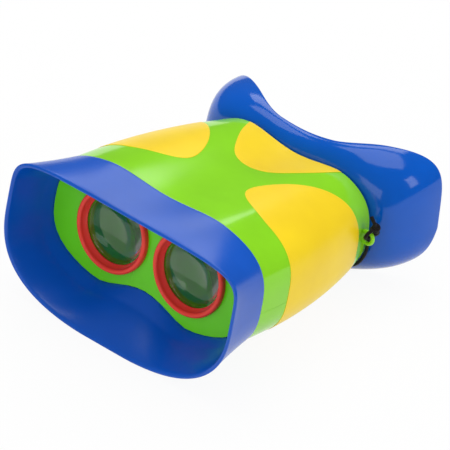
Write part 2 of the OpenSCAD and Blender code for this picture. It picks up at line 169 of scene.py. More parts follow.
@dataclass(frozen=True)
class Form:
    """Sections of the toy in mm: x across, y from the hood's rim back, z up from the lens axes."""

    lens_half: float = 27.0
    rim_radius: float = 24.0
    lens_radius: float = 20.0
    eye_radius: float = 12.0
    hood_half: float = 79.5
    hood_top: float = 31.0
    hood_bottom: float = 50.0
    hood_wall: float = 2.2
    seam_y: float = 31.5
    rear_y: float = 139.2
    front_half: float = 73.3
    rear_half: float = 57.0
    body_top: float = 36.0
    rear_top: float = 32.9
    body_bottom: float = 38.3
    rear_bottom: float = 24.2
    shell_wall: float = 2.4
    tongue: float = 2.5
    shield_half: float = 74.7
    shield_top: float = 41.4
    shield_bottom: float = 29.9
    wing_y: float = 177.4
    brow_y: float = 151.0
    shield_sag: float = 4.4
    shield_wall: float = 2.2
    steps: int = 60
    body_square: tuple[float, float] = (3.1, 2.7)
    hood_square: tuple[float, float] = (6.2, 2.7)
    shield_square: tuple[float, float] = (5.6, 2.7)
    eyelet_z: float = 8.0

    @property
    def eyelet_y(self) -> float:
        """Where the eyelets stand, along."""
        return self.rear_y - 9

    @property
    def plate_y(self) -> float:
        """Front face of the lens plate."""
        return self.seam_y - 3.5

    @property
    def eye_plate_y(self) -> float:
        """Front face of the eye plate."""
        return self.rear_y - 11

    @property
    def plate_inset(self) -> float:
        """How far the lens plate's edge lies inside the body's surface."""
        return self.shell_wall + 2.2

    @property
    def neck_inset(self) -> float:
        """How far the shield's neck lies inside the body's surface."""
        return self.shell_wall + 0.4

    @staticmethod
    def turn(u: float) -> float:
        """Angle round a section for a share of the way, closer together at the rounded ends."""
        angle = 360 * u
        return math.degrees(math.atan2(0.62 * sin_deg(angle), cos_deg(angle))) % 360

    @staticmethod
    def oval(
        th: float, half: float, up: float, down: float, n_up: float, n_down: float
    ) -> tuple[float, float]:
        """One point of a rounded section, with its own squareness above and below.

        Args:
            th: angle round the section in degrees.
            half: half width.
            up: reach above the axis.
            down: reach below the axis.
            n_up: squareness above.
            n_down: squareness below.

        Returns:
            The point's place across and up.
        """
        c, s = cos_deg(th), sin_deg(th)
        h, n = (up, n_up) if s >= 0 else (down, n_down)
        r = ((abs(c) / half) ** n + (abs(s) / h) ** n) ** (-1 / n)
        return r * c, r * s

    def body(self, th: float, y: float, d: float) -> Vector:
        """A point of the body's surface, moved inwards by d.

        Args:
            th: angle round the section in degrees.
            y: distance along in mm.
            d: depth below the surface in mm.

        Returns:
            The point in mm, along the optical axis.
        """
        u = clamp((y - self.seam_y) / (self.rear_y - self.seam_y))
        half = lerp(self.front_half, self.rear_half, u**2.3) - d
        up = lerp(self.body_top, self.rear_top, u**2) - d
        down = lerp(self.body_bottom, self.rear_bottom, u**2.2) - d
        x, z = self.oval(th, half, up, down, *self.body_square)
        if th <= 180:
            fold = smooth((u - 0.5) / 0.45)
            width = lerp(16, 36, clamp((u - 0.5) / 0.5))
            z -= 3.2 * bump(x / 40) + 2.6 * fold * bump(x / width)
        else:
            z += lerp(9.7, 9, u) * bump(x / 34)
        return Vector((x, y, z))

    def hood(self, th: float, y: float, d: float) -> Vector:
        """A point of the hood between its rim and the front seam, moved inwards by d.

        Args:
            th: angle round the section in degrees.
            y: distance along in mm.
            d: depth below the surface in mm.

        Returns:
            The point in mm, along the optical axis.
        """
        e = clamp(y / self.seam_y) ** 0.85
        up, down = self.hood_top - d, self.hood_bottom - d
        x, z = self.oval(th, self.hood_half - d, up, down, *self.hood_square)
        q = self.body(th, self.seam_y, d - 0.35)
        return Vector((lerp(x, q.x, e), y, lerp(z, q.z, e)))

    def shield_rim(self, th: float, d: float) -> Vector:
        """A point of the eye shield's rim, moved inwards by d.

        Args:
            th: angle round the section in degrees.
            d: depth below the surface in mm.

        Returns:
            The point in mm, along the optical axis.
        """
        up, down = self.shield_top - d, self.shield_bottom - d
        x, z = self.oval(th, self.shield_half - d, up, down, *self.shield_square)
        z += -5.7 * bump(x / 46) if th <= 180 else 21 * bump(x / 27)
        y = self.brow_y + (self.wing_y - self.brow_y) * smooth((abs(x) - 17.6) / 58)
        if z < 0:
            y -= 8 * clamp(-z / 20)
        t = self.shield_sag * clamp((sin_deg(th) + 0.55) / 0.6)
        return Vector((x * cos_deg(t) - z * sin_deg(t), y, x * sin_deg(t) + z * cos_deg(t)))

    def shield(self, th: float, s: float, inner: float, lip: float) -> Vector:
        """A point of the shield's wall.

        Args:
            th: angle round the shield in degrees.
            s: share of the way from the neck to the rim.
            inner: 0 on the outside, 1 on the inside.
            lip: length that the rounded lip takes off the wall.

        Returns:
            The point in mm.
        """
        d = inner * self.shield_wall
        neck = self.body(th, self.rear_y, self.neck_inset + d)
        rim = self.shield_rim(th, d)
        f, g = sin_deg(90 * s), 1 - cos_deg(90 * s)
        y = lerp(self.rear_y + 1 + d, rim.y - lip, g)
        return Vector((lerp(neck.x, rim.x, f), y, lerp(neck.z, rim.z, f)))

    @property
    def foot(self) -> Vector:
        """Lowest point of the hood's lip."""
        return self.hood(270, 0.15, 0.4)

    @cached_property
    def rest_tip(self) -> float:
        """Angle that lays the hood's lip and the shield's cheeks on one level.

        Returns:
            The angle in degrees.
        """
        half, foot = self.steps // 2, self.foot
        rims = [self.shield_rim(self.turn(i / self.steps), 0) for i in range(half, self.steps + 1)]
        return min(math.degrees(math.atan((r.z - foot.z) / (r.y - foot.y))) for r in rims)

    @cached_property
    def rest(self) -> Matrix:
        """Carries mm along the optical axis to metres on the surface that the toy stands on.

        Returns:
            The change of place, as a matrix.
        """
        tip = self.rest_tip
        rims = [self.shield_rim(self.turn(i / self.steps), 0) for i in range(self.steps + 1)]
        back = max(r.y * cos_deg(tip) + r.z * sin_deg(tip) for r in rims)
        middle = (back - self.hood_bottom * sin_deg(tip)) / 2
        lift = self.foot.y * sin_deg(tip) - self.foot.z * cos_deg(tip) - 0.5
        turn = Matrix.Rotation(math.radians(-tip), 4, "X")
        return Matrix.Scale(MM, 4) @ Matrix.Translation((0, -middle, lift)) @ turn

    def placed(self, point: Sequence[float]) -> Vector:
        """A point in mm along the optical axis, as metres at rest and never under the surface.

        Args:
            point: the point in mm.

        Returns:
            The point in metres.
        """
        p = self.rest @ Vector(point)
        p.z = max(p.z, 0.0)
        return p

    def lens_axis(self, side: Side, y: float) -> Matrix:
        """Where a turned piece goes: its axis on one lens axis, its start at y."""
        shift = Matrix.Translation((side.value * self.lens_half, y, 0))
        return self.rest @ shift @ Matrix.Rotation(math.radians(-90), 4, "X") @ Matrix.Scale(1 / MM, 4)


FORM = Form()


class Shop:
    """Bench tools that shape meshes with Blender's own operators."""

    @staticmethod
    def clear() -> None:
        """Leaves nothing selected."""
        if bpy.context.object and bpy.context.object.mode != "OBJECT":
            bpy.ops.object.mode_set(mode="OBJECT")
        bpy.ops.object.select_all(action="DESELECT")

    @classmethod
    def pick(cls, *pieces: bpy.types.Object) -> None:
        """Selects these pieces alone; the first is the active one.

        Args:
            pieces: the pieces to select.
        """
        cls.clear()
        for piece in pieces:
            piece.select_set(True)
        bpy.context.view_layer.objects.active = pieces[0]

    @classmethod
    def named(cls, name: str) -> bpy.types.Object:
        """Names the piece that was just added.

        Args:
            name: its new name.

        Returns:
            The piece.
        """
        piece = bpy.context.object
        piece.name = name
        piece.data.name = name
        return piece

    @classmethod
    def weld(cls, piece: bpy.types.Object, reach: float = WELD) -> bpy.types.Object:
        """Merges doubled points and turns the faces outwards.

        Args:
            piece: the piece to clean.
            reach: how close two points are one, in metres.

        Returns:
            The piece.
        """
        cls.pick(piece)
        bpy.ops.object.mode_set(mode="EDIT")
        bpy.ops.mesh.select_all(action="SELECT")
        bpy.ops.mesh.remove_doubles(threshold=reach)
        bpy.ops.mesh.normals_make_consistent(inside=False)
        bpy.ops.object.mode_set(mode="OBJECT")
        return piece

    @classmethod
    def soften(cls, piece: bpy.types.Object, angle: float = 40.0) -> bpy.types.Object:
        """Shades a piece smooth except over edges sharper than the angle.

        Args:
            piece: the piece to shade.
            angle: the sharpest smooth edge, in degrees.

        Returns:
            The piece.
        """
        cls.pick(piece)
        bpy.ops.object.shade_smooth_by_angle(angle=math.radians(angle))
        return piece

    @classmethod
    def skin(
        cls, name: str, across: int, along: int, place: Callable[[float, float], Vector]
    ) -> bpy.types.Object:
        """Lays a grid over a surface.

        Args:
            name: the piece's name.
            across: steps in the first direction.
            along: steps in the second direction.
            place: gives a grid point's place in metres from its two shares.

        Returns:
            The welded piece.
        """
        cls.clear()
        bpy.ops.mesh.primitive_grid_add(x_subdivisions=across, y_subdivisions=along, size=1.0)
        piece = cls.named(name)
        for vertex in piece.data.vertices:
            vertex.co = place(vertex.co.x + 0.5, vertex.co.y + 0.5)
        return cls.soften(cls.weld(piece))

    @classmethod
    def turned(
        cls, name: str, profile: Sequence[tuple[float, float]], place: Matrix, steps: int = 96
    ) -> bpy.types.Object:
        """Spins an outline round its axis, as on a lathe.

        Args:
            name: the piece's name.
            profile: radius and distance along the axis of each corner, in mm.
            place: carries the piece from its own axis to where it goes.
            steps: facets round the axis.

        Returns:
            The welded piece.
        """
        cls.clear()
        bpy.ops.mesh.primitive_plane_add(size=MM)
        piece = cls.named(name)
        bpy.ops.object.mode_set(mode="EDIT")
        bpy.ops.mesh.select_all(action="SELECT")
        bpy.ops.mesh.merge(type="CENTER")
        bpy.ops.transform.translate(value=(profile[0][0] * MM, 0, profile[0][1] * MM))
        for (r0, z0), (r1, z1) in zip(profile, profile[1:]):
            step = ((r1 - r0) * MM, 0, (z1 - z0) * MM)
            bpy.ops.mesh.extrude_vertices_move(TRANSFORM_OT_translate={"value": step})
        bpy.ops.mesh.select_all(action="SELECT")
        bpy.ops.mesh.spin(steps=steps, angle=math.tau, center=(0, 0, 0), axis=(0, 0, 1))
        bpy.ops.object.mode_set(mode="OBJECT")
        cls.weld(piece)
        piece.data.transform(place)
        return cls.soften(piece, 30)

    @classmethod
    def tube(cls, name: str, path: Sequence[Vector], radius: float, sides: int = 16) -> bpy.types.Object:
        """Sweeps a round cord along a path, with closed ends.

        Args:
            name: the piece's name.
            path: the middle of the cord, in metres.
            radius: the cord's radius in metres.
            sides: facets round the cord.

        Returns:
            The piece.
        """
        last = len(path) - 1
        ways = [(path[min(last, i + 1)] - path[max(0, i - 1)]).normalized() for i in range(last + 1)]
        ahead = ways[0].orthogonal().normalized()
        frames = []
        for way in ways:
            ahead = (ahead - way * ahead.dot(way)).normalized()
            frames.append((ahead, way.cross(ahead)))
        rings = [(0, 0.0), *((i, 1.0) for i in range(last + 1)), (last, 0.0)]

        def place(u: float, v: float) -> Vector:
            """One point of the cord's surface.

            Args:
                u: share of the way round.
                v: share of the way along.

            Returns:
                The point in metres.
            """
            i, swell = rings[round(v * (last + 2))]
            a, b = frames[i]
            return path[i] + radius * swell * (math.cos(math.tau * u) * a + math.sin(math.tau * u) * b)

        return cls.skin(name, sides, last + 2, place)

    @classmethod
    def joined(cls, name: str, *pieces: bpy.types.Object) -> bpy.types.Object:
        """Joins pieces into the first, under a new name.

        Args:
            name: the new name.
            pieces: the pieces to join.

        Returns:
            The joined piece.
        """
        cls.pick(*pieces)
        bpy.ops.object.join()
        return cls.named(name)

    @classmethod
    def copied(cls, piece: bpy.types.Object, name: str) -> bpy.types.Object:
        """A copy of a piece with its own mesh.

        Args:
            piece: the piece to copy.
            name: the copy's name.

        Returns:
            The copy.
        """
        cls.pick(piece)
        bpy.ops.object.duplicate(linked=False)
        return cls.named(name)

    @classmethod
    def bisected(
        cls, piece: bpy.types.Object, at: Vector, way: Vector, keep_far: bool
    ) -> bpy.types.Object:
        """Cuts a piece by a plane and closes the cut.

        Args:
            piece: the piece to cut.
            at: a point of the plane.
            way: the plane's normal.
            keep_far: keeps the half that the normal points to.

        Returns:
            The piece.
        """
        cls.pick(piece)
        bpy.ops.object.mode_set(mode="EDIT")
        bpy.ops.mesh.select_all(action="SELECT")
        bpy.ops.mesh.bisect(
            plane_co=at, plane_no=way, use_fill=True, clear_inner=keep_far, clear_outer=not keep_far
        )
        bpy.ops.object.mode_set(mode="OBJECT")
        return cls.soften(piece)

    @classmethod
    def carved(cls, piece: bpy.types.Object, cutter: bpy.types.Object) -> bpy.types.Object:
        """Takes a cutter's shape out of a piece and removes the cutter.

        Args:
            piece: the piece to carve.
            cutter: the shape to take out.

        Returns:
            The piece.
        """
        tool = piece.modifiers.new("carve", "BOOLEAN")
        tool.object = cutter
        tool.operation = "DIFFERENCE"
        tool.solver = "EXACT"
        cls.pick(piece)
        bpy.ops.object.modifier_apply(modifier=tool.name)
        bpy.data.objects.remove(cutter)
        return cls.soften(piece)


@dataclass(frozen=True)
class PlasticFinish:
    """Moulded plastic or soft vinyl, with a faint grain and a slight drift of tone."""

    name: str
    colour: tuple[float, float, float]
    roughness: float = 0.28
    gloss: float = 0.4
    drift: float = 0.06
    grain: float = 0.03
    grain_scale: float = 900.0

    def make(self) -> bpy.types.Material:
        """Builds the node material.

        Returns:
            The material.
        """
        material = bpy.data.materials.new(self.name)
        material.use_nodes = True
        nodes, links = material.node_tree.nodes, material.node_tree.links
        shader = nodes["Principled BSDF"]
        shader.inputs["Specular IOR Level"].default_value = self.gloss
        place = nodes.new("ShaderNodeTexCoord")
        cloud = nodes.new("ShaderNodeTexNoise")
        cloud.inputs["Scale"].default_value = 28.0
        cloud.inputs["Detail"].default_value = 3.0
        tone = nodes.new("ShaderNodeValToRGB")
        tone.color_ramp.elements[0].position = 0.3
        tone.color_ramp.elements[1].position = 0.7
        low = [c * (1 - self.drift) for c in self.colour]
        high = [min(1.0, c * (1 + self.drift)) for c in self.colour]
        tone.color_ramp.elements[0].color = (*low, 1)
        tone.color_ramp.elements[1].color = (*high, 1)
        shine = nodes.new("ShaderNodeMapRange")
        shine.inputs["To Min"].default_value = self.roughness * 0.9
        shine.inputs["To Max"].default_value = self.roughness * 1.1
        pits = nodes.new("ShaderNodeTexNoise")
        pits.inputs["Scale"].default_value = self.grain_scale
        pits.inputs["Detail"].default_value = 2.0
        relief = nodes.new("ShaderNodeBump")
        relief.inputs["Strength"].default_value = self.grain
        relief.inputs["Distance"].default_value = 0.0002
        links.new(place.outputs["Object"], cloud.inputs["Vector"])
        links.new(place.outputs["Object"], pits.inputs["Vector"])
        links.new(cloud.outputs["Fac"], tone.inputs["Fac"])
        links.new(cloud.outputs["Fac"], shine.inputs["Value"])
        links.new(tone.outputs["Color"], shader.inputs["Base Color"])
        links.new(shine.outputs["Result"], shader.inputs["Roughness"])
        links.new(pits.outputs["Fac"], relief.inputs["Height"])
        links.new(relief.outputs["Normal"], shader.inputs["Normal"])
        return material


@dataclass(frozen=True)
class LensFinish:
    """Clear moulded lens with a faint ripple."""

    name: str
    colour: tuple[float, float, float] = (0.93, 0.98, 0.93)
    ior: float = 1.49

    def make(self) -> bpy.types.Material:
        """Builds the node material.

        Returns:
            The material.
        """
        material = bpy.data.materials.new(self.name)
        material.use_nodes = True
        nodes, links = material.node_tree.nodes, material.node_tree.links
        shader = nodes["Principled BSDF"]
        shader.inputs["Base Color"].default_value = (*self.colour, 1)
        shader.inputs["Transmission Weight"].default_value = 1.0
        shader.inputs["IOR"].default_value = self.ior
        place = nodes.new("ShaderNodeTexCoord")
        haze = nodes.new("ShaderNodeTexNoise")
        haze.inputs["Scale"].default_value = 60.0
        film = nodes.new("ShaderNodeMapRange")
        film.inputs["To Min"].default_value = 0.0
        film.inputs["To Max"].default_value = 0.03
        links.new(place.outputs["Object"], haze.inputs["Vector"])
        links.new(haze.outputs["Fac"], film.inputs["Value"])
        links.new(film.outputs["Result"], shader.inputs["Roughness"])
        return material


@dataclass(frozen=True)
class CordFinish:
    """Braided black cord; the braid follows the piece's own map."""

    name: str
    colour: tuple[float, float, float] = (0.008, 0.007, 0.007)
    plaits: float = 4.0
    turns: float = 160.0

    def make(self) -> bpy.types.Material:
        """Builds the node material.

        Returns:
            The material.
        """
        material = bpy.data.materials.new(self.name)
        material.use_nodes = True
        nodes, links = material.node_tree.nodes, material.node_tree.links
        shader = nodes["Principled BSDF"]
        shader.inputs["Roughness"].default_value = 0.62
        shader.inputs["Specular IOR Level"].default_value = 0.15
        shader.inputs["Sheen Weight"].default_value = 0.04
        place = nodes.new("ShaderNodeTexCoord")
        lay = nodes.new("ShaderNodeMapping")
        lay.inputs["Scale"].default_value = (self.plaits, self.turns, 1)
        braid = nodes.new("ShaderNodeTexChecker")
        braid.inputs["Scale"].default_value = 2.0
        braid.inputs["Color1"].default_value = (*self.colour, 1)
        braid.inputs["Color2"].default_value = (*[c * 1.7 for c in self.colour], 1)
        relief = nodes.new("ShaderNodeBump")
        relief.inputs["Strength"].default_value = 0.35
        relief.inputs["Distance"].default_value = 0.0002
        links.new(place.outputs["UV"], lay.inputs["Vector"])
        links.new(lay.outputs["Vector"], braid.inputs["Vector"])
        links.new(braid.outputs["Color"], shader.inputs["Base Color"])
        links.new(braid.outputs["Fac"], relief.inputs["Height"])
        links.new(relief.outputs["Normal"], shader.inputs["Normal"])
        return material


@dataclass(frozen=True)
class SteelFinish:
    """Plain steel with fine turning marks."""

    name: str

    def make(self) -> bpy.types.Material:
        """Builds the node material.

        Returns:
            The material.
        """
        material = bpy.data.materials.new(self.name)
        material.use_nodes = True
        nodes, links = material.node_tree.nodes, material.node_tree.links
        shader = nodes["Principled BSDF"]
        shader.inputs["Base Color"].default_value = (0.56, 0.56, 0.57, 1)
        shader.inputs["Metallic"].default_value = 1.0
        place = nodes.new("ShaderNodeTexCoord")
        marks = nodes.new("ShaderNodeTexNoise")
        marks.inputs["Scale"].default_value = 1500.0
        rub = nodes.new("ShaderNodeMapRange")
        rub.inputs["To Min"].default_value = 0.25
        rub.inputs["To Max"].default_value = 0.45
        links.new(place.outputs["Object"], marks.inputs["Vector"])
        links.new(marks.outputs["Fac"], rub.inputs["Value"])
        links.new(rub.outputs["Result"], shader.inputs["Roughness"])
        return material


class Finishes:
    """The toy's finishes, each made once."""

    def __init__(self) -> None:
        """Makes every material."""
        self.hood = PlasticFinish("hood blue", (0.0, 0.088, 0.53), 0.25, 0.4).make()
        self.shield = PlasticFinish("shield blue", (0.0, 0.095, 0.53), 0.12, 0.42, grain_scale=600).make()
        self.plate = PlasticFinish("plate green", (0.13, 0.68, 0.006), 0.28, 0.3).make()
        self.shell = PlasticFinish("body green", (0.26, 0.7, 0.014), 0.12, 0.45).make()
        self.grip = PlasticFinish("grip yellow", (0.98, 0.68, 0.006), 0.34, 0.34).make()
        self.rim = PlasticFinish("rim red", (0.9, 0.05, 0.03), 0.25, 0.35).make()
        self.inner = PlasticFinish("tube green", (0.1, 0.85, 0.01), 0.5, 0.2).make()
        self.tie = PlasticFinish("tie black", (0.02, 0.02, 0.022), 0.6, 0.3).make()
        self.clasp = PlasticFinish("clasp black", (0.012, 0.012, 0.013), 0.3, 0.45).make()
        self.lens = LensFinish("clear lens").make()
        self.cord = CordFinish("black cord").make()
        self.screw = SteelFinish("screw steel").make()


def dress(
    piece: bpy.types.Object, finish: bpy.types.Material, slot: Slot, *nodes: str, ride: bool = True
) -> bpy.types.Object:
    """Gives a piece its finish, hides the solids it stands for and sets the body it rides on.

    Args:
        piece: the finished mesh.
        finish: its material.
        slot: the record's slot; not used.
        nodes: the solids that it stands for.
        ride: whether it rides on the main body.

    Returns:
        The piece.
    """
    piece.data.materials.clear()
    piece.data.materials.append(finish)
    if nodes:
        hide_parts(*nodes)
    if ride:
        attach(piece, Body.MAIN.value)
    LOG.info("%s: %d faces", piece.name, len(piece.data.polygons))
    return piece


@dataclass
class LensHood:
    """The flared hood in front of the lenses."""

    finishes: Finishes
    lip: float = 1.1
    plate_gap: float = 0.3
    around: int = 288

    def profile(self) -> list[Callable[[float], Vector]]:
        """The closed outline of the wall, from the seam round the lip and back.

        Returns:
            One function of the angle for each point of the outline.
        """
        f = FORM
        outline: list[Callable[[float], Vector]] = []
        seam = [(f.seam_y, 0.4), (f.seam_y - 0.08, 0.12), (f.seam_y - 0.3, 0.0)]
        outer = [(lerp(f.seam_y - 1, self.lip, k / 24), 0.0) for k in range(25)]
        rim = [180 * k / 12 for k in range(1, 12)]
        lips = [(self.lip * (1 - sin_deg(a)), self.lip * (1 - cos_deg(a))) for a in rim]
        inner_y = [lerp(self.lip, f.seam_y * 0.66, k / 16) for k in range(17)]
        inner = [(y, f.hood_wall + 2.2 * smooth(y / f.seam_y)) for y in inner_y]
        for y, d in [*seam, *outer, *lips, *inner]:
            outline.append(lambda th, y=y, d=d: f.hood(th, y, d))
        for k in range(1, 7):
            outline.append(lambda th, u=k / 6: self.towards_plate(th, u))
        back, slim = f.seam_y + f.tongue, f.shell_wall + 0.15
        outline.append(lambda th: self.pocket(th, back))
        for y in (back, f.seam_y):
            outline.append(lambda th, y=y: f.body(th, y, slim))
        return outline

    def pocket(self, th: float, y: float) -> Vector:
        """A point of the straight pocket round the lens plate.

        Args:
            th: angle round the section in degrees.
            y: distance along in mm.

        Returns:
            The point in mm, along the optical axis.
        """
        p = FORM.body(th, FORM.seam_y, FORM.plate_inset - self.plate_gap)
        p.y = y
        return p

    def towards_plate(self, th: float, u: float) -> Vector:
        """A point of the inner wall between its free part and the pocket.

        Args:
            th: angle round the section in degrees.
            u: share of the way to the pocket.

        Returns:
            The point in mm, along the optical axis.
        """
        f = FORM
        start = f.hood(th, f.seam_y * 0.66, f.hood_wall + 2.2 * smooth(0.66))
        return start.lerp(self.pocket(th, f.plate_y - 0.5), u)

    def build(self) -> bpy.types.Object:
        """Makes the hood.

        Returns:
            The piece.
        """
        outline = self.profile()
        count = len(outline)

        def place(u: float, v: float) -> Vector:
            """One point of the hood."""
            return FORM.placed(outline[round(v * count) % count](FORM.turn(u)))

        hood = Shop.skin("hood", self.around, count, place)
        return dress(hood, self.finishes.hood, Slot.HOOD, "lens_hood")


@dataclass
class LensSet:
    """The front plate with its red rims, lenses and tubes."""

    finishes: Finishes
    frame: dict
    front_bow: float = 48.0
    back_bow: float = 60.0

    def rim_profile(self) -> list[tuple[float, float]]:
        """Outline of a red rim: rounded lip, sloped inner wall, spigot and lens seat.

        Returns:
            Radius and height of each point, in mm.
        """
        r, q = FORM.rim_radius, FORM.lens_radius
        lip = [(r - 1.5 + 1.5 * cos_deg(a), -1.7 - 1.5 * sin_deg(a)) for a in range(0, 181, 12)]
        wall = [(q + 0.6, -0.9), (q + 0.1, 0.0), (q - 0.35, 0.6), (q - 0.6, 0.9)]
        seat = [(q - 0.6, 1.5), (q + 0.05, 1.5), (q + 0.05, 6.5), (q + 1.5, 6.5), (q + 1.5, 0.0)]
        return [(r, 0.0), *lip, *wall, *seat, (r, 0.0)]

    def lens_profile(self) -> list[tuple[float, float]]:
        """Outline of a front lens, domed on both faces.

        Returns:
            Radius and height of each point, in mm.
        """
        q = FORM.lens_radius
        front = self.dome(self.front_bow, q - 0.7)
        back = self.dome(self.back_bow, q - 2.0)
        seat = [(q - 0.1, 0.0), (q, 0.1), (q, 4.0)]
        return [*[(r, -h) for r, h in front], *seat, *[(r, 4.0 + h) for r, h in reversed(back)]]

    @staticmethod
    def dome(bow: float, edge: float) -> list[tuple[float, float]]:
        """Radius and height of a dome, from its middle to its edge.

        Args:
            bow: the radius that it is ground to, in mm.
            edge: radius of its edge in mm.

        Returns:
            The points, with the edge at no height.
        """
        rim = math.sqrt(bow * bow - edge * edge)
        steps = [edge * k / 14 for k in range(15)]
        return [(r, math.sqrt(bow * bow - r * r) - rim) for r in steps]

    def eye_rim_profile(self) -> list[tuple[float, float]]:
        """Outline of a red eye rim.

        Returns:
            Radius and height of each point, in mm.
        """
        q = FORM.eye_radius
        seat = [(q + 0.05, 0.0), (q + 0.05, 2.6), (q - 1, 2.6), (q - 1, 4.2), (q - 0.7, 4.6)]
        flange = [(q + 2.0, 4.7), (q + 2.5, 4.4), (q + 3.3, 2.9), (q + 3.4, 2.5)]
        return [*seat, *flange, (q + 1.15, 2.5), (q + 1.15, 0.0), (q + 0.05, 0.0)]

    def eye_lens_profile(self) -> list[tuple[float, float]]:
        """Outline of a hollowed eye lens.

        Returns:
            Radius and height of each point, in mm.
        """
        q, bow = FORM.eye_radius, 27.5
        start = bow - 26.5
        edge = math.sqrt(bow * bow - 26.5 * 26.5)
        hollow = []
        for k in range(11):
            r = edge * k / 10
            hollow.append((r, start - (bow - math.sqrt(bow * bow - r * r))))
        return [*hollow, (q, 0.0), (q, 2.6), (0.0, 2.6)]

    def build(self) -> None:
        """Makes the rims and lenses, and finishes the plates and tubes."""
        f = FORM
        for side in Side:
            rim = Shop.turned(f"lens_rim_{side.word}_trim", self.rim_profile(), f.lens_axis(side, f.plate_y))
            dress(rim, self.finishes.rim, Slot.RIM, f"lens_rim_{side.word}")
            lens = Shop.turned(f"lens_{side.word}", self.lens_profile(), f.lens_axis(side, f.plate_y + 1.5))
            dress(lens, self.finishes.lens, Slot.LENS, f"front_lens_{side.word}")
            eye = f.lens_axis(side, f.eye_plate_y)
            ring = Shop.turned(f"eye_rim_{side.word}_trim", self.eye_rim_profile(), eye)
            dress(ring, self.finishes.rim, Slot.RIM, f"eye_rim_{side.word}")
            glass = Shop.turned(f"eye_glass_{side.word}", self.eye_lens_profile(), eye)
            dress(glass, self.finishes.lens, Slot.LENS, f"eye_lens_{side.word}")
            for node in (f"light_tube_{side.word}", f"lens_retainer_{side.word}"):
                self.paint(node, self.finishes.inner)
        self.paint("front_plate", self.finishes.plate)
        self.paint("eye_plate", self.finishes.plate)

    def paint(self, node: str, finish: bpy.types.Material) -> None:
        """Gives a solid that stays its finish.

        Args:
            node: the solid's name.
            finish: its material.
        """
        data = self.frame["nodes"][node].data
        data.materials.clear()
        data.materials.append(finish)
        LOG.info("%s kept", node)


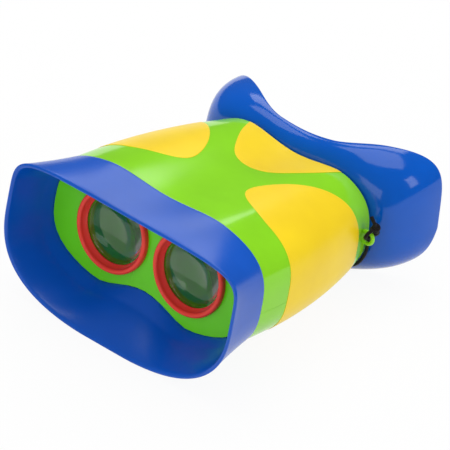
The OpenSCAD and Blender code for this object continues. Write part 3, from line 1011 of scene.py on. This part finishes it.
@dataclass
class BodyShells:
    """The two green shells with their eyelets and screw wells."""

    finishes: Finishes
    frame: dict
    part_z: float = -3.0
    part_gap: float = 0.1
    well_radius: float = 2.5
    boss_radius: float = 3.4
    thread_radius: float = 1.35
    around: int = 288
    screw_spots: tuple[tuple[float, float], ...] = ((-62.0, 43.5), (62.0, 43.5), (0.0, 61.5), (0.0, 112.2))

    def ring(self) -> bpy.types.Object:
        """The whole body wall, before it is parted.

        Returns:
            The closed wall.
        """
        f = FORM
        front = [(f.seam_y, 0.3), (f.seam_y + 0.08, 0.1), (f.seam_y + 0.3, 0.0)]
        rows = [(lerp(f.seam_y + 1, f.rear_y - 1, k / 80), 0.0) for k in range(81)]
        rear = [(f.rear_y - 0.4, 0.0), (f.rear_y - 0.12, 0.12), (f.rear_y, 0.4)]
        inner = [(lerp(f.rear_y, f.seam_y, k / 20), f.shell_wall) for k in range(21)]
        outline = [*front, *rows, *rear, *inner]
        count = len(outline)

        def place(u: float, v: float) -> Vector:
            """One point of the wall."""
            y, d = outline[round(v * count) % count]
            return FORM.rest @ FORM.body(FORM.turn(u), y, d)

        return Shop.skin("shell_ring", self.around, count, place)

    def eyelet(self, side: Side) -> bpy.types.Object:
        """A small moulded ring that the cord is tied to.

        Args:
            side: which side of the body.

        Returns:
            The ring with its foot.
        """
        y = FORM.eyelet_y
        x = FORM.body(0, y, 0).x + 3.4
        Shop.clear()
        bpy.ops.mesh.primitive_torus_add(
            major_segments=48, minor_segments=20, major_radius=3.3 * MM, minor_radius=1.1 * MM
        )
        ring = Shop.named(f"eyelet_{side.word}")
        for vertex in ring.data.vertices:
            share = smooth(-vertex.co.x / (4.4 * MM))
            vertex.co.y *= 1 + 0.15 * share
            vertex.co.x -= 0.9 * MM * share
        flip = Matrix.Diagonal((side.value, 1, 1, 1))
        spot = Matrix.Translation((side.value * x, y, FORM.eyelet_z))
        turn = Matrix.Rotation(math.radians(90), 4, "X")
        ring.data.transform(FORM.rest @ spot @ turn @ flip @ Matrix.Scale(1 / MM, 4))
        Shop.weld(ring)
        return dress(Shop.soften(ring), self.finishes.shell, Slot.SHELL)

    def well(self, spot: tuple[float, float]) -> bpy.types.Object:
        """A screw well inside the bottom shell.

        Args:
            spot: the screw's place across and along, in mm.

        Returns:
            The piece.
        """
        floor = -30.0 if spot[0] else FORM.body(270, spot[1], 1.2).z
        if spot[0]:
            share = ((abs(spot[0]) + self.boss_radius) / (FORM.front_half - 1.4)) ** 2.7
            floor = -(FORM.body_bottom - 1.4) * (1 - share) ** (1 / 2.7)
        well, boss, thread = self.well_radius, self.boss_radius, self.thread_radius
        outside = [(well, floor), (boss, floor), (boss, -3.2)]
        inside = [(thread, -3.2), (thread, -6.0), (well, -6.0), (well, floor)]
        place = FORM.rest @ Matrix.Translation((*spot, 0)) @ Matrix.Scale(1 / MM, 4)
        return Shop.turned("well", [*outside, *inside], place, 32)

    def build(self) -> None:
        """Parts the wall at its seam and adds what is moulded on it."""
        up = (FORM.rest.to_3x3() @ Vector((0, 0, 1))).normalized()
        top = self.ring()
        bottom = Shop.copied(top, "shell_bottom")
        top.name = "shell_top"
        Shop.bisected(top, FORM.rest @ Vector((0, 0, self.part_z + self.part_gap)), up, True)
        Shop.bisected(bottom, FORM.rest @ Vector((0, 0, self.part_z - self.part_gap)), up, False)
        cutters = []
        for spot in self.screw_spots:
            Shop.clear()
            bpy.ops.mesh.primitive_cylinder_add(vertices=32, radius=self.well_radius * MM, depth=40 * MM)
            cutter = Shop.named("cutter")
            cutter.data.transform(
                FORM.rest @ Matrix.Translation((*spot, -28)) @ Matrix.Scale(1 / MM, 4)
            )
            cutters.append(cutter)
        Shop.carved(bottom, Shop.joined("cutters", *cutters))
        bottom = Shop.joined("shell_bottom", bottom, *[self.well(spot) for spot in self.screw_spots])
        dress(top, self.finishes.shell, Slot.SHELL, "top_shell")
        dress(bottom, self.finishes.shell, Slot.SHELL, "bottom_shell")
        for side in Side:
            self.eyelet(side)
        screws = self.frame["nodes"]["body_screws"].data
        screws.materials.clear()
        screws.materials.append(self.finishes.screw)


@dataclass
class GripPanels:
    """The yellow panels, flush on the body."""

    finishes: Finishes
    rise: float = 0.25
    seat: float = 0.03
    around: int = 320
    rings: int = 44
    side_plan: tuple[tuple[float, float], ...] = (
        (90, 54), (56, 55), (30, 63), (20, 77), (31, 103), (54, 122), (90, 126),
    )
    side_reach: float = 56.0
    side_ends: tuple[float, float] = (54.0, 124.8)
    bridge_plan: tuple[tuple[float, float], ...] = (
        (32.2, 138.8), (25, 121), (13, 103), (0, 98),
    )

    @staticmethod
    def angle_at(x: float, y: float) -> float:
        """Angle on the top of the body whose point lies x across.

        Args:
            x: distance across in mm.
            y: distance along in mm.

        Returns:
            The angle in degrees.
        """
        low, high = 0.0, 180.0
        for _ in range(40):
            mid = (low + high) / 2
            if FORM.body(mid, y, 0).x > x:
                low = mid
            else:
                high = mid
        return (low + high) / 2

    def outline(self, corners: Sequence[Vector], sharp: bool) -> list[Vector]:
        """A closed outline of even steps through chosen corners.

        Args:
            corners: angle and distance along, in order.
            sharp: leaves the last stretch straight.

        Returns:
            The outline's points.
        """
        if sharp:
            loop = run_through(corners, 16)
            back = [corners[-1].lerp(corners[0], k / 24) for k in range(1, 24)]
            loop = [*loop, *back, corners[0].copy()]
        else:
            ring = [*corners[-2:], *corners, *corners[:3]]
            loop = run_through(ring, 16)[32:-32]
            loop[-1] = loop[0].copy()
        reach = [0.0]
        for a, b in zip(loop, loop[1:]):
            reach.append(reach[-1] + (b - a).length)
        found, j = [], 0
        for k in range(self.around):
            goal = reach[-1] * k / self.around
            while reach[j + 1] < goal:
                j += 1
            share = (goal - reach[j]) / max(reach[j + 1] - reach[j], 1e-9)
            found.append(loop[j].lerp(loop[j + 1], share))
        return found

    def panel(self, name: str, edge: Sequence[Vector], middle: Vector) -> bpy.types.Object:
        """A thin panel that follows the body inside an outline.

        Args:
            name: the piece's name.
            edge: the outline, as angle and distance along.
            middle: a point well inside it.

        Returns:
            The piece.
        """
        inside = [(k / self.rings, self.rise, 0.0) for k in range(self.rings)]
        rim = [(1, self.rise, 0.3), (1, self.rise * 0.9, 0.12), (1, self.rise * 0.6, 0.03), (1, self.seat, 0)]
        under = [(1 - k / 12, self.seat, 0.0) for k in range(1, 13)]
        layers = [*inside, *rim, *under]
        count = len(layers) - 1

        def place(u: float, v: float) -> Vector:
            """One point of the panel.

            Args:
                u: share of the way round.
                v: share of the way along.

            Returns:
                The point in metres.
            """
            share, height, back = layers[round(v * count)]
            way = edge[round(u * self.around) % self.around] - middle
            share -= back / max(way.length, 1e-6)
            spot = middle + way * max(share, 0.0)
            return FORM.rest @ FORM.body(spot.x % 360, spot.y, -height)

        return Shop.skin(name, self.around, count, place)

    def build(self) -> None:
        """Makes the two side panels and the rear one."""
        front, rear = self.side_ends
        bend = run_through([Vector((x, y, 0)) for x, y in self.side_plan], 5)
        top = [Vector((self.angle_at(p.x, p.y), p.y, 0)) for p in bend if p.x < self.side_reach]
        first, last = top[0], top[-1]
        enter = [Vector((first.x * t, lerp(front, first.y, t * t), 0)) for t in (0.35, 0.7)]
        leave = [Vector((last.x * t, lerp(rear, last.y, t * t), 0)) for t in (0.7, 0.35)]
        top = [*enter, *top, *leave]
        low = [Vector((-p.x, p.y, 0)) for p in reversed(top)]
        side = self.outline([Vector((0, front, 0)), *top, Vector((0, rear, 0)), *low], False)
        right = self.panel("grip_right_panel", side, Vector((0, 90, 0)))
        dress(right, self.finishes.grip, Slot.GRIP, "grip_right")
        mirrored = [Vector((180 - p.x, p.y, 0)) for p in side]
        left = self.panel("grip_left_panel", mirrored, Vector((180, 90, 0)))
        dress(left, self.finishes.grip, Slot.GRIP, "grip_left")
        half = [Vector((self.angle_at(x, y), y, 0)) for x, y in self.bridge_plan]
        far = [Vector((180 - p.x, p.y, 0)) for p in reversed(half[:-1])]
        rear = self.panel("grip_bridge_panel", self.outline([*half, *far], True), Vector((90, 126, 0)))
        dress(rear, self.finishes.grip, Slot.GRIP, "grip_bridge")


@dataclass
class EyeShield:
    """The soft shield that meets the face."""

    finishes: Finishes
    around: int = 360
    lip: float = 1.1

    def outline(self) -> list[Callable[[float], Vector]]:
        """The closed outline of the wall, from its collar round the lip and back.

        Returns:
            One function of the angle for each point of the outline.
        """
        f = FORM
        found: list[Callable[[float], Vector]] = []
        collar = f.eye_plate_y + 2.51
        found.append(lambda th: f.body(th, collar, f.neck_inset))
        found.append(lambda th: f.body(th, f.rear_y, f.neck_inset))
        for k in range(49):
            found.append(lambda th, s=k / 48: f.shield(th, s, 0, self.lip))
        for k in range(1, 12):
            found.append(lambda th, a=180 * k / 12: self.rounded(th, a))
        for k in range(33):
            found.append(lambda th, s=1 - k / 32: f.shield(th, s, 1, self.lip))
        found.append(lambda th: f.body(th, collar, f.neck_inset + f.shield_wall))
        return found

    def rounded(self, th: float, angle: float) -> Vector:
        """A point of the rounded lip.

        Args:
            th: angle round the section in degrees.
            angle: angle round the lip in degrees.

        Returns:
            The point in mm, along the optical axis.
        """
        d = FORM.shield_wall / 2 * (1 - cos_deg(angle))
        rim = FORM.shield_rim(th, d)
        rim.y -= self.lip * (1 - sin_deg(angle))
        return rim

    def build(self) -> bpy.types.Object:
        """Makes the shield.

        Returns:
            The piece.
        """
        outline = self.outline()
        count = len(outline)

        def place(u: float, v: float) -> Vector:
            """One point of the shield."""
            return FORM.placed(outline[round(v * count) % count](FORM.turn(u)))

        shield = Shop.skin("face_shield", self.around, count, place)
        return dress(shield, self.finishes.shield, Slot.SHIELD, "eye_shield")


@dataclass
class NeckCord:
    """The neck cord: knots at the eyelets, two runs, a tied coil and a breakaway clasp."""

    finishes: Finishes
    frame: dict
    radius: float = 1.0
    coil_radius: float = 11.5
    coil_middle: tuple[float, float] = (-16.0, 108.0)
    pitch: float = 2.5
    deck: float = 2.55
    paths: dict[Side, list[Vector]] = field(default_factory=dict)

    @property
    def floor_z(self) -> float:
        """Height of the cord's middle where it lies."""
        return self.radius + 0.05

    @property
    def coil_z(self) -> float:
        """Height of the coil's first layer."""
        return self.radius + 0.75

    @property
    def clasp(self) -> Vector:
        """Where the clasp's axis lies."""
        return Vector((self.coil_middle[0] - self.coil_radius - self.pitch, 79.0, self.coil_z + self.deck))

    @property
    def knot(self) -> Vector:
        """Middle of the knot above the right eyelet, along the optical axis."""
        y = FORM.eyelet_y
        return Vector((FORM.body(0, y, 0).x + 7.0, y, FORM.eyelet_z + 7.5))

    def down(self) -> list[Vector]:
        """The run from the knot round the body's rear edge, in mm at rest.

        Returns:
            The chosen points, in mm at rest.
        """
        k, f = self.knot, FORM
        spots = [
            Vector((k.x, k.y + 0.8, k.z - 1.2)),
            Vector((k.x - 0.8, f.rear_y - 5, 11)),
            f.body(4, f.rear_y - 3, -2.4),
            f.body(354, f.rear_y - 2, -1.5),
            f.body(345, f.rear_y - 1.8, -1.4),
            f.body(335, f.rear_y - 1.6, -1.4),
            f.body(326, f.rear_y - 1.2, -1.6),
        ]
        return [(f.rest @ p) / MM for p in spots]

    def hang(self) -> list[Vector]:
        """The left run from its hanging knot round the body's rear edge, in mm at rest.

        Returns:
            The chosen points, in mm at rest.
        """
        k, f = self.knot, FORM
        spots = [
            Vector((k.x, k.y + 0.8, 2 * f.eyelet_z - k.z)),
            Vector((k.x - 1.5, f.rear_y - 6, -4.5)),
            f.body(350, f.rear_y - 3, -2.2),
            f.body(342, f.rear_y - 2.2, -1.5),
            f.body(335, f.rear_y - 1.6, -1.4),
            f.body(326, f.rear_y - 1.2, -1.6),
        ]
        return [(f.rest @ Vector((-p.x, p.y, p.z))) / MM for p in spots]

    def coil(self) -> list[Vector]:
        """The put-away turns: in over two, up half a turn, out over two.

        Returns:
            The chosen points, in mm at rest.
        """
        found = []
        for i in range(1, 4 * 48 + 25):
            t = i / 48
            inward, climb, outward = clamp(t / 2), clamp((t - 2) / 0.5), clamp((t - 2.5) / 2)
            r = self.coil_radius + self.pitch * (1 - 2 * inward + 2 * outward) - 0.8 * sin_deg(180 * climb)
            x = self.coil_middle[0] + r * cos_deg(360 * t)
            y = self.coil_middle[1] + r * sin_deg(360 * t)
            found.append(Vector((x, y, self.coil_z + self.deck * smooth(climb))))
        end = self.clasp
        return [*found, *[Vector((end.x, y, end.z)) for y in (104.5, 102.2, 100.1)]]

    def routes(self) -> None:
        """Settles the middle line of both runs, in metres."""
        z = self.floor_z
        start = self.coil_middle[0] + self.coil_radius + self.pitch
        right = [(24, 49.5, z + 0.8), (15.5, 54.5, z), (10.5, 64, z), (8, 76, z), (3, 89, z)]
        right += [(start - 0.6, 99, z + 0.2), (start, self.coil_middle[1], self.coil_z)]
        end = self.clasp
        left = [(-24, 49.5, z + 0.8), (-15.5, 53, z), (-11.5, 58, z), (-14.5, 63, z), (-22.5, 65.5, z)]
        left += [(end.x + 0.8, 69, 2.8), (end.x, 74.2, end.z), (end.x, 78.7, end.z)]
        run = run_through([*self.down(), *[Vector(p) for p in right]], 10)
        self.paths[Side.RIGHT] = [p * MM for p in [*run, *self.coil()]]
        self.paths[Side.LEFT] = [p * MM for p in run_through([*self.hang(), *[Vector(p) for p in left]], 10)]

    def tied(self, side: Side) -> bpy.types.Object:
        """A loop through the eyelet, three turns of a knot and a short tail.

        Args:
            side: which eyelet.

        Returns:
            The piece.
        """
        k, r = self.knot, self.radius
        eye = Vector((k.x - 3.6, k.y, FORM.eyelet_z))
        rise = (k - eye).normalized()
        mid = (k + eye) / 2
        loop = []
        for i in range(41):
            a = 360 * i / 40
            loop.append(mid + 4.2 * (cos_deg(a) * rise + sin_deg(a) * Vector((0, 1, 0))))
        side_way = rise.cross(Vector((0, 1, 0)))
        wrap = []
        for i in range(61):
            a = 360 * 2.6 * i / 60
            ring = cos_deg(a) * Vector((0, 1, 0)) + sin_deg(a) * side_way
            wrap.append(k + 1.55 * ring + rise * lerp(-1.9, 2.0, i / 60))
        tail = run_through([k + rise * 0.5, k + Vector((-1.2, -0.6, 3.0)), k + Vector((-4.0, 0.0, 5.1))], 8)
        pieces = []
        for word, path, thick in (("loop", loop, r), ("wrap", wrap, r * 0.95), ("tail", tail, r)):
            if side is Side.LEFT:
                path = [Vector((-p.x, p.y, 2 * FORM.eyelet_z - p.z)) for p in path]
            spots = [FORM.rest @ p for p in path]
            pieces.append(Shop.tube(word, spots, thick * MM, 14))
        knot = Shop.joined(f"knot_{side.word}", *pieces)
        return dress(knot, self.finishes.cord, Slot.CORD, f"cord_knot_{side.word}")

    def build(self) -> None:
        """Makes the cord and works out the length of its two runs, which is not kept."""
        self.routes()
        nodes = self.frame["nodes"]
        for node, finish in (
            ("coil_tie", self.finishes.tie),
            ("clasp_socket", self.finishes.clasp),
            ("clasp_plug", self.finishes.clasp),
        ):
            nodes[node].data.materials.clear()
            nodes[node].data.materials.append(finish)
        knots = {side: self.tied(side) for side in Side}
        right = Shop.tube("cord_right", self.paths[Side.RIGHT], self.radius * MM)
        dress(right, self.finishes.cord, Slot.CORD, "neck_cord_right", "cord_coil")
        left = Shop.tube("cord_left", self.paths[Side.LEFT], self.radius * MM)
        dress(left, self.finishes.cord, Slot.CORD, "neck_cord_left", ride=False)
        end = self.paths[Side.LEFT][-1]
        tuple(end)
        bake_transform(left)
        self.declare(Side.RIGHT)
        self.declare(Side.LEFT)

    def declare(self, side: Side) -> None:
        """Works out a run's length, which is neither kept nor stated.

        Args:
            side: which run.
        """
        path = self.paths[side]
        length = sum((b - a).length for a, b in zip(path, path[1:]))
        tuple(path[0])
        [tuple(p) for p in path]


@dataclass
class Lamp:
    """A soft studio lamp that looks at the toy."""

    name: str
    at: tuple[float, float, float]
    size: tuple[float, float]
    power: float
    towards: tuple[float, float, float] = (0.0, 0.0, 0.04)

    def build(self) -> None:
        """Hangs the lamp."""
        data = bpy.data.lights.new(self.name, "AREA")
        data.shape = "RECTANGLE"
        data.size, data.size_y = self.size
        data.energy = self.power
        lamp = bpy.data.objects.new(self.name, data)
        bpy.context.scene.collection.objects.link(lamp)
        lamp.location = self.at
        lamp.rotation_mode = "QUATERNION"
        way = Vector(self.towards) - Vector(self.at)
        lamp.rotation_quaternion = way.to_track_quat("-Z", "Y")


@dataclass
class Studio:
    """The camera at the photograph's angle, soft lamps and a pale floor."""

    azimuth: float = 35.18
    elevation: float = 27.87
    roll: float = 11.06
    distance: float = 5.348
    lens: float = 806.0
    aim: tuple[float, float, float] = (2.4, 85.24, 0.0)
    ambient: float = 0.66
    mirrored_ambient: float = 0.12
    lamps: tuple[Lamp, ...] = (
        Lamp("overhead softbox", (-0.3, 0.25, 1.15), (0.9, 0.9), 5.0),
        Lamp("right softbox", (1.0, 0.15, 0.75), (0.3, 0.7), 2.0),
        Lamp("front fill", (0.1, -1.4, 0.6), (1.0, 0.5), 2.4),
        Lamp("back softbox", (-0.9, 1.15, 1.05), (0.8, 0.5), 3.0),
    )

    def camera(self) -> None:
        """Sets the camera."""
        a, e = self.azimuth, self.elevation
        back = Vector((sin_deg(a) * cos_deg(e), -cos_deg(a) * cos_deg(e), sin_deg(e)))
        level = (-back).to_track_quat("-Z", "Y") @ Quaternion((0, 0, 1), math.radians(self.roll))
        turn = FORM.rest.to_quaternion() @ level
        back = FORM.rest.to_quaternion() @ back
        data = bpy.data.cameras.new("camera")
        data.sensor_width = 36.0
        data.lens = self.lens
        data.clip_start, data.clip_end = 0.1, 50.0
        eye = bpy.data.objects.new("camera", data)
        bpy.context.scene.collection.objects.link(eye)
        eye.rotation_mode = "QUATERNION"
        eye.rotation_quaternion = turn
        eye.location = FORM.rest @ Vector(self.aim) + back * self.distance
        bpy.context.scene.camera = eye

    def floor(self) -> None:
        """Lays the pale floor, which keeps the toy's shadow."""
        Shop.clear()
        bpy.ops.mesh.primitive_plane_add(size=8.0, location=(0, 0, -0.0002))
        floor = Shop.named("floor")
        material = bpy.data.materials.new("pale floor")
        material.use_nodes = True
        nodes, links = material.node_tree.nodes, material.node_tree.links
        base = nodes["Principled BSDF"]
        base.inputs["Base Color"].default_value = (0.9, 0.9, 0.9, 1)
        base.inputs["Roughness"].default_value = 0.9
        base.inputs["Specular IOR Level"].default_value = 0.0
        white = nodes.new("ShaderNodeEmission")
        path = nodes.new("ShaderNodeLightPath")
        seen = nodes.new("ShaderNodeMath")
        seen.operation = "ADD"
        all_seen = nodes.new("ShaderNodeMath")
        all_seen.operation = "ADD"
        share = nodes.new("ShaderNodeMath")
        share.operation = "MULTIPLY"
        share.inputs[1].default_value = 0.93
        share.use_clamp = True
        mix = nodes.new("ShaderNodeMixShader")
        links.new(path.outputs["Is Camera Ray"], seen.inputs[0])
        links.new(path.outputs["Is Glossy Ray"], seen.inputs[1])
        links.new(seen.outputs[0], all_seen.inputs[0])
        links.new(path.outputs["Is Transmission Ray"], all_seen.inputs[1])
        links.new(all_seen.outputs[0], share.inputs[0])
        links.new(share.outputs[0], mix.inputs["Fac"])
        links.new(base.outputs["BSDF"], mix.inputs[1])
        links.new(white.outputs["Emission"], mix.inputs[2])
        links.new(mix.outputs["Shader"], nodes["Material Output"].inputs["Surface"])
        floor.data.materials.append(material)

    def world(self) -> None:
        """Sets the even light of the room, whose walls mirror darkly in the plastic."""
        world = bpy.data.worlds.new("studio")
        world.use_nodes = True
        nodes, links = world.node_tree.nodes, world.node_tree.links
        shade = nodes["Background"]
        shade.inputs["Color"].default_value = (1, 1, 1, 1)
        path = nodes.new("ShaderNodeLightPath")
        level = nodes.new("ShaderNodeMapRange")
        level.inputs["To Min"].default_value = self.ambient
        level.inputs["To Max"].default_value = self.mirrored_ambient
        links.new(path.outputs["Is Glossy Ray"], level.inputs["Value"])
        links.new(level.outputs["Result"], shade.inputs["Strength"])
        bpy.context.scene.world = world
        bpy.context.scene.view_settings.view_transform = "Standard"

    def build(self) -> None:
        """Sets the camera, the lamps, the floor and the room."""
        self.camera()
        self.world()
        self.floor()
        for lamp in self.lamps:
            lamp.build()


def main() -> None:
    """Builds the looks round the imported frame."""
    logging.basicConfig(level=logging.INFO, format="%(name)s: %(message)s")
    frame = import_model()
    finishes = Finishes()
    Studio().build()
    NeckCord(finishes, frame).build()
    LensHood(finishes).build()
    LensSet(finishes, frame).build()
    BodyShells(finishes, frame).build()
    GripPanels(finishes).build()
    EyeShield(finishes).build()
    Shop.clear()


if __name__ == "__main__":
    main()
